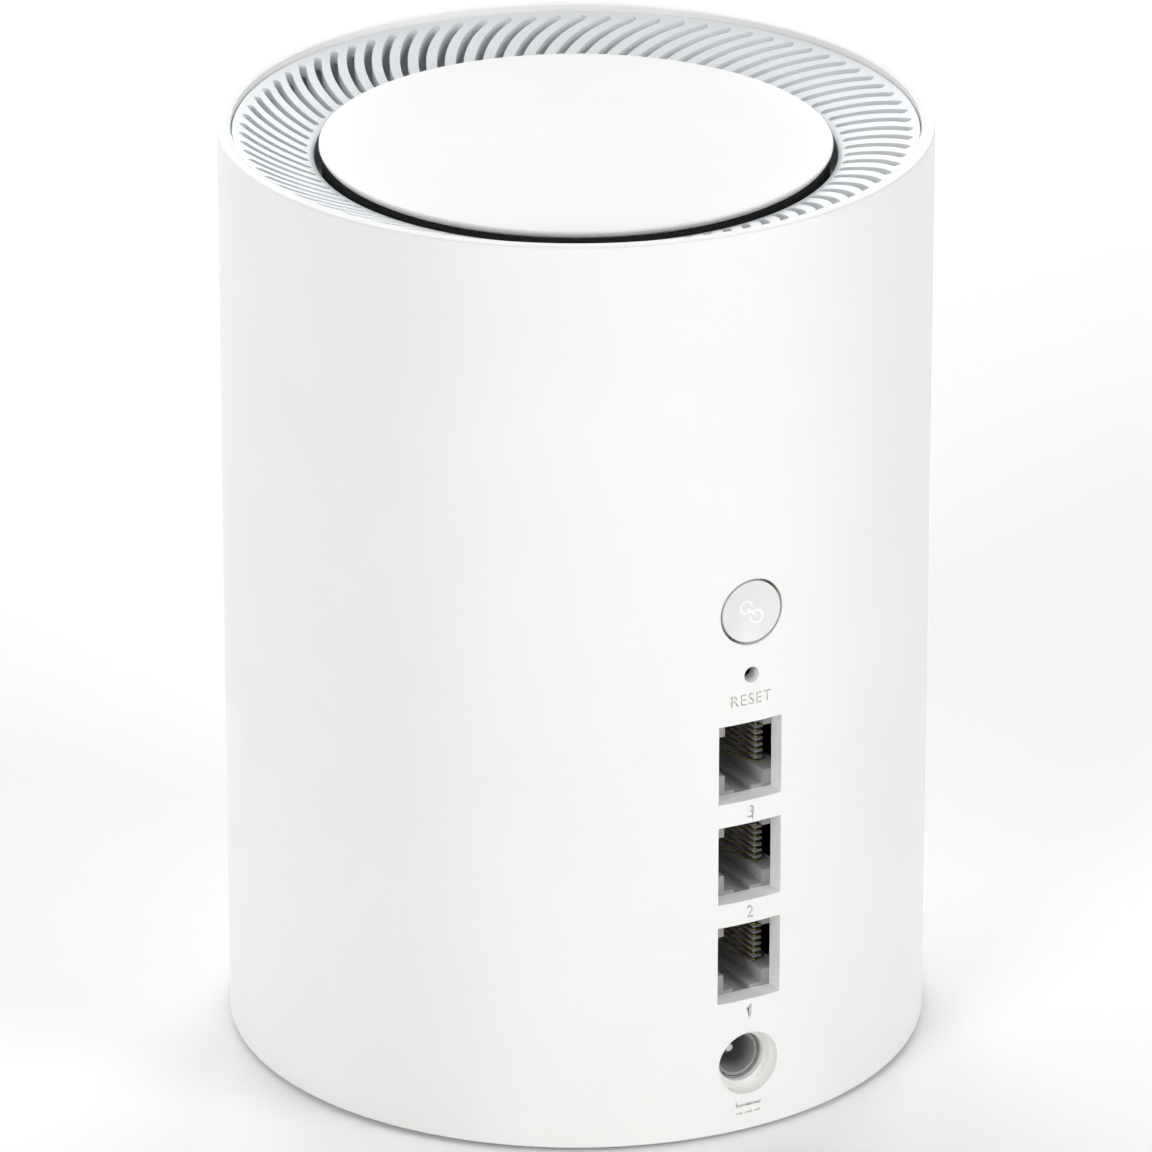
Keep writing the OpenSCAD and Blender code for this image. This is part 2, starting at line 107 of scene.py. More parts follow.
def lathe(outline, steps, closed=True):
    """A closed (r, z) outline turned once round the Z axis."""
    bm = bmesh.new()
    verts = [bm.verts.new((r, 0, z)) for r, z in outline]
    edges = [bm.edges.new((verts[i], verts[i + 1])) for i in range(len(verts) - 1)]
    if closed:
        edges.append(bm.edges.new((verts[-1], verts[0])))
    bmesh.ops.spin(bm, geom=verts + edges, cent=(0, 0, 0), axis=(0, 0, 1), angle=2 * math.pi,
                   steps=steps, use_merge=True)
    bmesh.ops.remove_doubles(bm, verts=bm.verts, dist=0.5e-6)
    bmesh.ops.recalc_face_normals(bm, faces=bm.faces)
    return bm


def add_box(bm, low, high):
    low, high = Vector(low), Vector(high)
    centre = Matrix.Translation((low + high) / 2)
    bmesh.ops.create_cube(bm, size=1, matrix=centre @ Matrix.Diagonal((*(high - low), 1)))


def add_rod(bm, radius, start, end, segments=96):
    """A cylinder between two points."""
    start, end = Vector(start), Vector(end)
    turn = (end - start).to_track_quat("Z", "Y").to_matrix().to_4x4()
    bmesh.ops.create_cone(bm, cap_ends=True, segments=segments, radius1=radius, radius2=radius,
                          depth=(end - start).length, matrix=Matrix.Translation((start + end) / 2) @ turn)


def prism(outline, along, bm=None):
    """A flat outline of 3-D points drawn out along a vector."""
    bm = bm or bmesh.new()
    face = bm.faces.new([bm.verts.new(p) for p in outline])
    made = bmesh.ops.extrude_face_region(bm, geom=[face])
    moved = [v for v in made["geom"] if isinstance(v, bmesh.types.BMVert)]
    bmesh.ops.translate(bm, verts=moved, vec=along)
    bmesh.ops.recalc_face_normals(bm, faces=bm.faces)
    return bm


def to_object(name, bm):
    mesh = bpy.data.meshes.new(name)
    bm.to_mesh(mesh)
    bm.free()
    made = bpy.data.objects.new(name, mesh)
    bpy.context.scene.collection.objects.link(made)
    return made


def cut(target, cutter_bm, operation="DIFFERENCE"):
    """Cuts a closed bmesh from an object, or joins it to the object."""
    cutter = to_object("cutter", cutter_bm)
    step = target.modifiers.new("cut", "BOOLEAN")
    step.operation = operation
    step.solver = "MANIFOLD"
    step.object = cutter
    evaluated = target.evaluated_get(bpy.context.evaluated_depsgraph_get())
    mesh = bpy.data.meshes.new_from_object(evaluated)
    target.modifiers.clear()
    target.data = mesh
    bpy.data.objects.remove(cutter)


def finish_piece(made, material, body, slot, *replaced, smooth=35):
    """Shades a piece, gives it its material, and ties it to the frame."""
    made.data.materials.clear()
    made.data.materials.append(material)
    made.data.polygons.foreach_set("use_smooth", [True] * len(made.data.polygons))
    made.data.set_sharp_from_angle(angle=math.radians(smooth))
    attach(made, body)
    if replaced:
        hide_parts(*replaced)
    return made


def eased_copy(node_name, name, width):
    """A copy of a CAD node with its flat faces joined and its sharp edges rounded by width."""
    sharp = math.radians(30)
    flat = math.radians(1)
    bm = bmesh.new()
    bm.from_mesh(nodes[node_name].data)
    bmesh.ops.remove_doubles(bm, verts=bm.verts, dist=1e-6)
    bmesh.ops.dissolve_limit(bm, angle_limit=flat, verts=bm.verts, edges=bm.edges)
    edges = [e for e in bm.edges if e.is_manifold and e.calc_face_angle(0) > sharp]
    bmesh.ops.bevel(bm, geom=edges, offset=width, affect="EDGES", segments=2, profile=0.5,
                    material=-1, clamp_overlap=True)
    return to_object(name, bm)


# ---- Materials ----

def surface(name, colour, roughness, ior=1.5, metallic=0.0):
    """A named principled material with its constants on its own sockets."""
    material = bpy.data.materials.new(name)
    material.use_nodes = True
    tree = material.node_tree
    shader = tree.nodes["Principled BSDF"]
    shader.inputs["Base Color"].default_value = linear(colour)
    shader.inputs["Roughness"].default_value = roughness
    shader.inputs["Metallic"].default_value = metallic
    shader.inputs["IOR"].default_value = ior
    material.diffuse_color = linear(colour)
    return material, tree, shader


def grain(tree, shader, size, depth, detail=2.0, stretch=(1, 1, 1)):
    """A bump of the given grain size and depth, in metres. Returns its place and noise for other use."""
    place = add_node(tree, "ShaderNodeTexCoord").outputs["Object"]
    place = add_node(tree, "ShaderNodeMapping", {"Vector": place, "Scale": stretch}).outputs["Vector"]
    noise = add_node(tree, "ShaderNodeTexNoise", {"Vector": place, "Scale": 1 / size, "Detail": detail})
    bump = add_node(tree, "ShaderNodeBump", {"Height": noise.outputs["Fac"], "Strength": 1.0,
                                             "Distance": depth})
    tree.links.new(bump.outputs["Normal"], shader.inputs["Normal"])
    return place, noise


def tone(tree, shader, place, colour, other, size):
    """Slow colour variation between two close tones."""
    low, high = 0.35, 0.65
    noise = add_node(tree, "ShaderNodeTexNoise", {"Vector": place, "Scale": 1 / size, "Detail": 3.0})
    share = add_node(tree, "ShaderNodeMapRange", {"Value": noise.outputs["Fac"], "From Min": low,
                                                  "From Max": high})
    mix = add_node(tree, "ShaderNodeMix", {"Factor": share.outputs["Result"], "A": linear(colour),
                                           "B": linear(other)}, data_type="RGBA")
    tree.links.new(mix.outputs["Result"], shader.inputs["Base Color"])


def roughness_range(tree, shader, noise, low, high):
    """Lets the grain's own noise vary the roughness between two values."""
    share = add_node(tree, "ShaderNodeMapRange", {"Value": noise.outputs["Fac"], "To Min": low,
                                                  "To Max": high})
    tree.links.new(share.outputs["Result"], shader.inputs["Roughness"])


def moulded(name, colour, other, roughness, size=0.25 * MM, depth=0.004 * MM, ior=1.53):
    """Injection-moulded plastic: an even colour under the fine grain of a spark-eroded mould."""
    patch = 22 * MM
    spread = 0.05
    material, tree, shader = surface(name, colour, roughness, ior)
    place, noise = grain(tree, shader, size, depth)
    tone(tree, shader, place, colour, other, patch)
    roughness_range(tree, shader, noise, roughness - spread, roughness + spread)
    return material


def make_materials():
    m = {}
    # ABS for the button cap, a shade greyer than the body: painted shade that stands in for the shade
    # falling in its dish
    m["cap_abs"] = moulded("abs_button_cap_painted_shade", "#E8E8E8", "#E6E6E6", 0.36)
    # Pad-printed ink, bright white
    m["white_ink"] = moulded("ink_white_print", "#FDFDFD", "#FBFBFB", 0.6, 0.2 * MM, 0.001 * MM)
    # ABS, moulded white: satin, with the faint sparkle of its mould's texture
    m["white_abs"] = moulded("abs_white_moulded", "#F5F5F3", "#F3F3F1", 0.42)
    # ABS, moulded light grey: a shade cooler than the body
    m["grey_abs"] = moulded("abs_light_grey_moulded", "#EEF1F3", "#EBEEF0", 0.45)
    # ABS, moulded near black: painted shade, dark to stand in for the shadow that falls under the disc
    m["dark_abs"] = moulded("abs_black_painted_shade", "#1B1D21", "#17191C", 0.55, 0.4 * MM, 0.01 * MM)
    # ABS, moulded mid grey for the hidden frame
    m["frame_abs"] = moulded("abs_grey_frame", "#62656A", "#5A5D62", 0.55, 0.5 * MM, 0.015 * MM)
    # PBT, moulded grey jack bodies: waxy and slightly mottled by its glass filler
    m["jack_plastic"] = moulded("pbt_grey_jack", "#A3A3A5", "#9B9B9D", 0.38, 0.3 * MM, 0.006 * MM)
    # PBT for the DC inlet: a close match to the LAN jacks, a touch darker and bluer
    m["dark_plastic"] = moulded("pbt_dark_inlet", "#A0A1A4", "#98999C", 0.4, 0.3 * MM, 0.006 * MM)
    # Nylon, moulded black: the push switches and their plungers
    m["switch_plastic"] = moulded("nylon_black_switch", "#1D1D1F", "#242426", 0.5)
    m["plunger_plastic"] = moulded("nylon_black_plunger", "#26262A", "#202024", 0.4)
    # Epoxy, moulded black: chip bodies, with a dull fine texture
    m["chip_epoxy"] = moulded("epoxy_chip_body", "#17171A", "#1E1E21", 0.5, 0.15 * MM, 0.006 * MM)
    # Ferrite, pressed: dark, gritty and matte
    m["ferrite"] = moulded("ferrite_pressed", "#3A3A3D", "#2F2F32", 0.7, 0.2 * MM, 0.02 * MM)
    # Silicone rubber: matte and a little dusty
    m["rubber"] = moulded("rubber_grey_feet", "#6B6C6E", "#737476", 0.8, 0.3 * MM, 0.02 * MM)
    # Silicone, filled: the soft blue pad under the heatsink
    m["thermal_silicone"] = moulded("silicone_thermal_pad", "#8FA9C4", "#87A1BB", 0.75, 0.4 * MM, 0.02 * MM)
    # FEP, extruded black: smooth and slippery, on the thin antenna leads
    m["lead_jacket"] = moulded("fep_black_lead", "#161616", "#1F1F1F", 0.3, 0.5 * MM, 0.003 * MM, 1.34)
    # PET sleeve, shrunk on the capacitors: dark blue and smooth
    m["capacitor_can"] = moulded("pet_sleeve_capacitor", "#2B3140", "#31384A", 0.3, 0.6 * MM, 0.003 * MM)
    # Polyester film, blank: the label under the base
    m["label"] = moulded("polyester_blank_label", "#D4D6D8", "#CFD1D3", 0.35, 0.8 * MM, 0.001 * MM)
    # Epoxy, cast: the pale lens of the status light
    m["led_lens"] = moulded("epoxy_led_lens", "#EDE9C4", "#E5DFAE", 0.15, 0.8 * MM, 0.001 * MM)

    # Phosphor bronze under a gold flash: warm metal with fine drawing lines along the wire
    material, tree, shader = surface("gold_flashed_bronze", "#B3A677", 0.22, metallic=1.0)
    place, noise = grain(tree, shader, 0.25 * MM, 0.002 * MM, 2.0, (1, 0.1, 1))
    roughness_range(tree, shader, noise, 0.16, 0.3)
    m["gold_plate"] = material
    # Nickel plate: bright, with faint turning marks
    material, tree, shader = surface("nickel_plated_brass", "#D8D6D0", 0.2, metallic=1.0)
    place, noise = grain(tree, shader, 0.2 * MM, 0.002 * MM, 2.0, (1, 8, 1))
    roughness_range(tree, shader, noise, 0.14, 0.28)
    m["nickel_plate"] = material
    # Zinc-plated steel screws: grey metal, slightly cloudy
    material, tree, shader = surface("zinc_plated_steel", "#A9ABAE", 0.35, metallic=1.0)
    place, noise = grain(tree, shader, 0.5 * MM, 0.004 * MM)
    tone(tree, shader, place, "#A9ABAE", "#96999D", 2 * MM)
    roughness_range(tree, shader, noise, 0.28, 0.45)
    m["screw_steel"] = material
    # Tin-plated sheet steel: drawn smooth, with rolling lines
    material, tree, shader = surface("tinned_sheet_steel", "#C9CACB", 0.3, metallic=1.0)
    place, noise = grain(tree, shader, 0.6 * MM, 0.003 * MM, 3.0, (1, 1, 0.06))
    roughness_range(tree, shader, noise, 0.22, 0.42)
    m["tinned_steel"] = material
    # Aluminium, extruded: satin, with die lines along the fins
    material, tree, shader = surface("aluminium_extruded", "#CFD1D3", 0.38, metallic=1.0)
    place, noise = grain(tree, shader, 0.5 * MM, 0.006 * MM, 3.0, (1, 1, 0.04))
    roughness_range(tree, shader, noise, 0.3, 0.48)
    m["heatsink_aluminium"] = material
    m["circuit_board"] = circuit_board()
    # Acrylic, polished: a clear light pipe with a faint blue body
    material, tree, shader = surface("acrylic_light_pipe", "#EEF3F5", 0.08, 1.49)
    shader.inputs["Transmission Weight"].default_value = 0.85
    grain(tree, shader, 2 * MM, 0.002 * MM)
    m["clear_plastic"] = material
    return m


def circuit_board():
    """Glass epoxy under green solder mask: glossy, with traces as raised, lighter lines."""
    material, tree, shader = surface("fr4_green_solder_mask", "#1E5A36", 0.32, 1.52)
    place = add_node(tree, "ShaderNodeTexCoord").outputs["Object"]
    # traces run on a grid of 1.2 mm, broken up so that no line crosses the whole board
    turn = (math.radians(90), math.radians(90), 0)
    turned = add_node(tree, "ShaderNodeMapping", {"Vector": place, "Rotation": turn}).outputs["Vector"]
    cells = add_node(tree, "ShaderNodeTexBrick", {"Vector": turned, "Scale": 1.0, "Mortar Size": 0.12 * MM,
                                                  "Brick Width": 6.4 * MM, "Row Height": 1.2 * MM,
                                                  "Color1": linear("#1E5A36"), "Color2": linear("#1A5232"),
                                                  "Mortar": linear("#3F8455")})
    bump = add_node(tree, "ShaderNodeBump", {"Height": cells.outputs["Fac"], "Strength": 0.6,
                                             "Distance": 0.03 * MM})
    tree.links.new(cells.outputs["Color"], shader.inputs["Base Color"])
    tree.links.new(bump.outputs["Normal"], shader.inputs["Normal"])
    return material


# ---- Casing ----

WELL_W = 10.97 * MM
WELL_H = 12.93 * MM
DC_RECESS_R = 5.2 * MM
CAP_R = 4.95 * MM
CAP_HOLE_R = 5.38 * MM
RESET_R = 1.3 * MM
DC_RECESS_DEPTH = 2.5 * MM
DC_HOLE_R = 4.0 * MM
LIGHT_PIPE_R = 1.3 * MM
LIGHT_PIPE_Z = 20 * MM
AROUND = 720
# How far a cutter reaches past the wall outside, and past the panel inside
PAST = 2 * MM
INTO = 1 * MM


def shell_outline():
    """Half the sleeve's section: rounded rims, a seat for the vent ring and one for the base."""
    edge = 0.4 * MM
    lip = 0.15 * MM
    ledge_t, seat_t, ramp = 1.2 * MM, 1.4 * MM, 2.9 * MM
    ledge_r = IN_R - 1.75 * MM
    low_ledge = FOOT_Z + 2.6 * MM
    outline = arc((BODY_R - edge, FOOT_Z + edge), edge, -90, 0)
    outline += [(BODY_R, FOOT_Z + (RIM_Z - FOOT_Z) * i / 24) for i in range(1, 24)]
    outline += arc((BODY_R - edge, RIM_Z - edge), edge, 0, 90)
    outline += arc((IN_R + lip, RIM_Z - lip), lip, 90, 180, 3)
    outline += [(IN_R, RING_SEAT_Z), (ledge_r, RING_SEAT_Z), (ledge_r, RING_SEAT_Z - seat_t),
                (IN_R, RING_SEAT_Z - ramp), (IN_R, low_ledge + ledge_t), (ledge_r, low_ledge + ledge_t),
                (ledge_r, low_ledge), (IN_R, low_ledge), (IN_R, FOOT_Z)]
    return outline


def port_panel():
    """The thick pad inside the shell behind the port column."""
    half = 9.5 * MM
    thin_y = BODY_R - 2.6 * MM
    low_z, step_z, high_z = FOOT_Z + 2.8 * MM, 71 * MM, 96 * MM
    buried_y = BODY_R - 1.7 * MM
    outline = [(PANEL_Y, low_z), (buried_y, low_z), (buried_y, high_z), (thin_y, high_z),
               (thin_y, step_z), (PANEL_Y, step_z)]
    return prism([(-half, y, z) for y, z in outline], (2 * half, 0, 0))


def make_shell(material):
    """The sleeve with its port panel, its wells and holes, and the marks pressed into it."""
    shell = to_object("outer_shell_moulding", lathe(shell_outline(), AROUND))
    cut(shell, port_panel(), "UNION")
    inner_y, outer_y = PANEL_Y - INTO, BODY_R + PAST
    bm = bmesh.new()
    for z in LAN_Z:
        add_box(bm, (-WELL_W / 2, inner_y, z - WELL_H / 2), (WELL_W / 2, outer_y, z + WELL_H / 2))
    add_rod(bm, DC_RECESS_R, (0, BODY_R - DC_RECESS_DEPTH, DC_Z), (0, outer_y, DC_Z))
    add_rod(bm, CAP_HOLE_R, (0, inner_y, BUTTON_Z), (0, outer_y, BUTTON_Z))
    add_rod(bm, RESET_R, (0, inner_y, RESET_Z), (0, outer_y, RESET_Z), 48)
    add_rod(bm, LIGHT_PIPE_R, (0, -outer_y, LIGHT_PIPE_Z), (0, -IN_R + PAST, LIGHT_PIPE_Z), 48)
    cut(shell, bm)
    bm = bmesh.new()
    add_rod(bm, DC_HOLE_R, (0, inner_y, DC_Z), (0, BODY_R, DC_Z))
    cut(shell, bm)
    for mark in shell_marks():
        bmesh.ops.recalc_face_normals(mark, faces=mark.faces)
        cut(shell, mark)
    finish_piece(shell, material, "housing", "white_abs", "outer_shell")


# ---- Vent ring and disc ----

SLOTS = 81
SLOT_W = 1.25 * MM
SLOT_IN_R = 41.75 * MM
SLOT_OUT_R = 51.05 * MM
SLOT_BEND_R = 18.6 * MM
SLOT_SWEEP = math.radians(9.3)
FIRST_SLOT = math.radians(239.91)


def cone_z(r):
    """The height of the ring's sloping top at a radius."""
    return CONE_IN_Z + (CONE_OUT_Z - CONE_IN_Z) * (r - CONE_IN_R) / (CONE_OUT_R - CONE_IN_R)


def slot_outline():
    """The outline of one curved slot with round ends, its outer end on the +X axis."""
    tip = Vector((SLOT_OUT_R, 0))
    root = Vector((SLOT_IN_R * math.cos(SLOT_SWEEP), SLOT_IN_R * math.sin(SLOT_SWEEP)))
    half = (tip - root).length / 2
    along = (root - tip).normalized()
    centre = (tip + root) / 2 + math.sqrt(SLOT_BEND_R ** 2 - half ** 2) * Vector((-along.y, along.x))
    start = math.degrees(math.atan2(*(tip - centre).yx))
    end = math.degrees(math.atan2(*(root - centre).yx))
    points = arc(centre, SLOT_BEND_R + SLOT_W / 2, start, end, 20)
    points += arc(root, SLOT_W / 2, end, end + 180, 8)[1:-1]
    points += arc(centre, SLOT_BEND_R - SLOT_W / 2, end, start, 20)
    points += arc(tip, SLOT_W / 2, start + 180, start + 360, 8)[1:-1]
    return points


def ring_outline():
    """Half the ring's section: the sloping top, the outer skirt, the inner skirt and its screw lip."""
    skirt_r = CONE_IN_R + 1 * MM
    outer_r = CONE_OUT_R - 1.05 * MM
    lip_z = RIM_Z - 11 * MM
    lip_r = 33.5 * MM
    lip_t = 1.5 * MM
    thick = 2 * MM
    edge = 0.15 * MM
    outline = [(CONE_OUT_R - edge, cone_z(CONE_OUT_R - edge) + 0.01 * MM)]
    outline += [(r * MM, cone_z(r * MM)) for r in (51.6, 49, 46, 43, 41.3)]
    outline += [(CONE_IN_R + edge, cone_z(CONE_IN_R + edge)), (CONE_IN_R, CONE_IN_Z - edge)]
    outline += [(CONE_IN_R, lip_z), (lip_r, lip_z), (lip_r, lip_z - lip_t),
                (skirt_r, lip_z - lip_t), (skirt_r, cone_z(skirt_r) - thick),
                (outer_r, cone_z(outer_r) - thick), (outer_r, RING_SEAT_Z),
                (CONE_OUT_R, RING_SEAT_Z), (CONE_OUT_R, CONE_OUT_Z - edge)]
    return outline


def make_ring(material):
    """The vent ring, its curved slots and the four screw holes in its lip."""
    slot_low, slot_tall = RIM_Z - 8 * MM, 9 * MM
    screw_ring_r, screw_hole_r = 37 * MM, 1.5 * MM
    ring = to_object("vent_ring_moulding", lathe(ring_outline(), 486))
    bm = bmesh.new()
    outline = slot_outline()
    for k in range(SLOTS):
        turn = Matrix.Rotation(FIRST_SLOT + 2 * math.pi * k / SLOTS, 4, "Z")
        prism([turn @ Vector((x, y, slot_low)) for x, y in outline], (0, 0, slot_tall), bm)
    cut(ring, bm)
    bm = bmesh.new()
    for k in range(4):
        x, y = (screw_ring_r * f(math.radians(45 + 90 * k)) for f in (math.cos, math.sin))
        add_rod(bm, screw_hole_r, (x, y, RIM_Z - 13 * MM), (x, y, RIM_Z - 10 * MM), 32)
    cut(ring, bm)
    finish_piece(ring, material, "housing", "grey_abs", "vent_ring")


def make_disc(material):
    """The top disc: a rounded edge, a side that leans in below it, and four clip posts."""
    post_ring_r, post_r, post_l = 25 * MM, 2 * MM, 2.4 * MM
    edge = 0.25 * MM
    under = DISC_Z - 1.6 * MM
    outline = [(0, under), (DISC_R - 1.4 * MM, under), (DISC_R - 0.9 * MM, DISC_Z - 1.15 * MM),
               (DISC_R - 0.38 * MM, DISC_Z - 1.0 * MM), (DISC_R - 0.04 * MM, DISC_Z - 0.45 * MM),
               (DISC_R, DISC_Z - 0.38 * MM)]
    outline += arc((DISC_R - edge, DISC_Z - edge), edge, 0, 90)
    outline += [(DISC_R * s, DISC_Z) for s in (0.8, 0.5, 0.2)] + [(0, DISC_Z)]
    disc = to_object("top_disc_moulding", lathe(outline, 360, closed=False))
    bm = bmesh.new()
    for k in range(4):
        x, y = (post_ring_r * f(math.radians(90 * k)) for f in (math.cos, math.sin))
        add_rod(bm, post_r, (x, y, under - post_l), (x, y, under + 0.2 * MM), 32)
    cut(disc, bm, "UNION")
    finish_piece(disc, material, "housing", "white_abs", "top_disc")


# ---- Pairing button ----

CAP_FACE_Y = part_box("pairing_button")[1].y
CAP_BACK_Y = BODY_R - 4.1 * MM
DISH = 0.75 * MM
DISH_R = CAP_R - 0.25 * MM


def cap_face_y(x, z):
    """The cap's flat rim with a shallow round dish pressed into it."""
    return CAP_FACE_Y - DISH * max(0, 1 - (math.hypot(x, z) / DISH_R) ** 2)


def make_button(material):
    """A lathe turned about the Y axis: the dished face, the side, the flange and the stem."""
    edge = 0.15 * MM
    stem_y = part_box("pairing_button")[0].y
    stem_r = 1.5 * MM
    flange_r = CAP_R + 0.9 * MM
    flange_y = CAP_BACK_Y + 1.2 * MM
    outline = [(DISH_R * i / 16, cap_face_y(DISH_R * i / 16, 0)) for i in range(17)]
    outline += arc((CAP_R - edge, CAP_FACE_Y - edge), edge, 90, 0)
    outline += [(CAP_R, flange_y), (flange_r, flange_y), (flange_r, CAP_BACK_Y),
                (stem_r, CAP_BACK_Y), (stem_r, stem_y), (0, stem_y)]
    bm = lathe(outline, 128, closed=False)
    for v in bm.verts:
        x, y, z = v.co
        v.co = (x, z, BUTTON_Z - y)
    cap = to_object("pairing_button_cap", bm)
    finish_piece(cap, material, "pairing_button", "white_abs", "pairing_button")


def tube_mesh(name, routes, radius):
    """Round tubes along point lists, as one mesh."""
    curve = bpy.data.curves.new(name, "CURVE")
    curve.dimensions = "3D"
    curve.bevel_depth = radius
    curve.bevel_resolution = 3
    curve.use_fill_caps = True
    for route in routes:
        spline = curve.splines.new("POLY")
        spline.points.add(len(route) - 1)
        for point, place in zip(spline.points, route):
            point.co = (*place, 1)
    holder = bpy.data.objects.new(name + "_curve", curve)
    bpy.context.scene.collection.objects.link(holder)
    mesh = bpy.data.meshes.new_from_object(holder.evaluated_get(bpy.context.evaluated_depsgraph_get()))
    bpy.data.objects.remove(holder)
    bpy.data.curves.remove(curve)
    bm = bmesh.new()
    bm.from_mesh(mesh)
    bpy.data.meshes.remove(mesh)
    bmesh.ops.remove_doubles(bm, verts=bm.verts, dist=1e-6)
    bmesh.ops.recalc_face_normals(bm, faces=bm.faces)
    return to_object(name, bm)


def chain_routes():
    """Two open links and the bar through them, as (across, up) points on the cap."""
    centre, bend = (-0.87 * MM, 0.85 * MM), 1.0 * MM
    shift_u, shift_v = 0.25 * MM, -0.3 * MM
    link = arc(centre, bend, -5, 300, 24) + [(-0.05 * MM, -0.02 * MM)]
    bar_end = (0.62 * MM, -0.56 * MM)
    routes = [link, [(-u, -v) for u, v in link], [(-bar_end[0], -bar_end[1]), bar_end]]
    return [[(u + shift_u, v + shift_v) for u, v in route] for route in routes]


def make_chain_mark(material):
    """The printed mark on the cap: a flat line of paint following the dish."""
    paint_half, flatten = 0.16 * MM, 0.12
    routes = [[(u, v, 0) for u, v in route] for route in chain_routes()]
    mark = tube_mesh("pairing_button_mark", routes, paint_half)
    for vertex in mark.data.vertices:
        u, v, w = vertex.co
        # +X is on the left when the ports are faced
        vertex.co = (-u, cap_face_y(-u, v) + w * flatten, v + BUTTON_Z)
    finish_piece(mark, material, "pairing_button", "white_abs")


# ---- Marks pressed into the shell ----

MARK_DEPTH = 0.4 * MM
MARK_LINE = 0.4 * MM
MARK_PROUD = 0.3 * MM
STRIP = 0.3 * MM
DIGIT_H = 2.0 * MM
DIGIT_DROP = 8.4 * MM


def wrap_on_shell(bm, base_z):
    """Bends a flat mark, drawn in x and y with its thickness in z, on to the shell's port side."""
    low = min(v.co.x for v in bm.verts)
    high = max(v.co.x for v in bm.verts)
    strips = max(2, int((high - low) / STRIP))
    bmesh.ops.triangulate(bm, faces=bm.faces[:])
    for i in range(1, strips):
        x = low + (high - low) * i / strips
        bmesh.ops.bisect_plane(bm, geom=bm.verts[:] + bm.edges[:] + bm.faces[:], plane_co=(x, 0, 0),
                               plane_no=(1, 0, 0))
    bmesh.ops.triangulate(bm, faces=bm.faces[:])
    for v in bm.verts:
        x, y, depth = v.co
        r = BODY_R + (MARK_PROUD if depth > 0 else -MARK_DEPTH)
        v.co = (r * math.sin(-x / BODY_R), r * math.cos(x / BODY_R), base_z + y)


def lettering(text, height, width, middle_z):
    """A word or digit in plain capitals, fitted to a height and width, wrapped on the shell."""
    curve = bpy.data.curves.new("lettering", "FONT")
    curve.body = text
    curve.extrude = 1 * MM
    curve.space_character = 1.12
    holder = bpy.data.objects.new("lettering", curve)
    bpy.context.scene.collection.objects.link(holder)
    mesh = bpy.data.meshes.new_from_object(holder.evaluated_get(bpy.context.evaluated_depsgraph_get()))
    bpy.data.objects.remove(holder)
    bm = bmesh.new()
    bm.from_mesh(mesh)
    bpy.data.meshes.remove(mesh)
    bmesh.ops.remove_doubles(bm, verts=bm.verts, dist=1e-5)
    low = Vector([min(v.co[i] for v in bm.verts) for i in range(3)])
    high = Vector([max(v.co[i] for v in bm.verts) for i in range(3)])
    middle = (low + high) / 2
    for v in bm.verts:
        v.co.x = (v.co.x - middle.x) * width / (high.x - low.x)
        v.co.y = (v.co.y - middle.y) * height / (high.y - low.y)
    wrap_on_shell(bm, middle_z)
    return bm


def bar(x0, x1, middle_z):
    """A level stroke of the direct-current sign, wrapped on the shell."""
    bm = bmesh.new()
    add_box(bm, (x0, -MARK_LINE / 2, -1 * MM), (x1, MARK_LINE / 2, 1 * MM))
    wrap_on_shell(bm, middle_z)
    return bm


def shell_marks():
    """The word over the ports, the port numbers and the plain direct-current sign."""
    marks = [lettering("RESET", 1.85 * MM, 7.0 * MM, RESET_Z - 3.95 * MM)]
    for digit, z in zip("23", LAN_Z[1:]):
        marks.append(lettering(digit, DIGIT_H, 1.2 * MM, z - DIGIT_DROP))
    one = ((0.38, -1), (0.38, 1), (0.06, 1), (-0.42, 0.6), (-0.42, 0.22), (0.04, 0.58), (0.04, -1))
    flag = prism([(x * MM, y * MM, -1 * MM) for x, y in one], (0, 0, 2 * MM))
    wrap_on_shell(flag, LAN_Z[0] - DIGIT_DROP)
    marks.append(flag)
    half = 2.2 * MM
    dash = 0.27 * 2 * half
    marks.append(bar(-half, half, DC_Z - 7.03 * MM))
    for i in (-1, 0, 1):
        middle = i * (half - dash / 2)
        marks.append(bar(middle - dash / 2, middle + dash / 2, DC_Z - 8.34 * MM))
    return marks


# ---- Jacks ----

CONTACTS = 8
CONTACT_PITCH = 1.02 * MM
WIRE_R = 0.16 * MM


def wire_route(z):
    """One spring contact: forward in its groove of the comb, round the front and back into the cavity."""
    face = jack_high.y
    groove_x, bend_y, bend = -4.97 * MM, face - 3.42 * MM, 0.24 * MM
    points = [(groove_x, face - 16 * MM), (groove_x, face - 10 * MM), (groove_x, bend_y)]
    points += arc((groove_x + bend, bend_y), bend, 180, 20, 8)[1:]
    points += [(-4.3 * MM, face - 3.9 * MM), (-3.5 * MM, face - 5.9 * MM), (-2.75 * MM, face - 8.0 * MM),
               (-2.35 * MM, face - 9.2 * MM), (-2.32 * MM, face - 9.7 * MM)]
    return [(x, y, z) for x, y in points]


def jack_body(index, z):
    """The jack's moulding, with a window in the wall beside its comb."""
    jack = eased_copy(f"lan_jack_{index}", f"lan_jack_{index}_body", 0.06 * MM)
    face = jack_high.y
    bay_half = 3.7 * MM
    bm = bmesh.new()
    add_box(bm, (jack_low.x - 1 * MM, face - 12 * MM, z - bay_half),
            (jack_low.x + 0.5 * MM, face - 0.6 * MM, z + bay_half))
    cut(jack, bm)
    return jack


